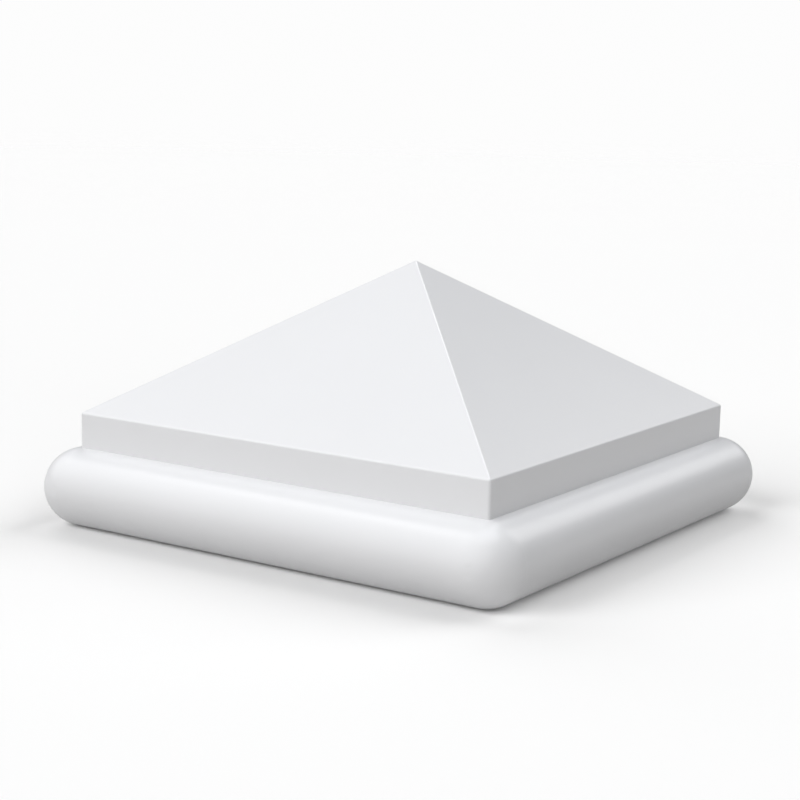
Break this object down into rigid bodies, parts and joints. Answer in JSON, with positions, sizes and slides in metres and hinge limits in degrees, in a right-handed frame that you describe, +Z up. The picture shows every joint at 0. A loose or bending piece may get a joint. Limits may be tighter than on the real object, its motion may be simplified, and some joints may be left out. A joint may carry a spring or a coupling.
{
  "type": "newel post cap",
  "caption": "Square newel post cap moulded in one piece, with a bullnose edge round its base, a low upright band and a pyramid top that sheds rain off the post below.",
  "frame": {"origin": "middle of the flat underside, where the cap sits on the post", "axes": "+Z up through the tip of the pyramid, X and Y square to the sides"},
  "size_m": [0.4, 0.4, 0.1937],
  "materials": {
    "primed_urethane": "smooth satin white factory primer on rigid urethane"
  },
  "bodies": {
    "root": {"post_cap": "primed_urethane"}
  },
  "joints": []
}
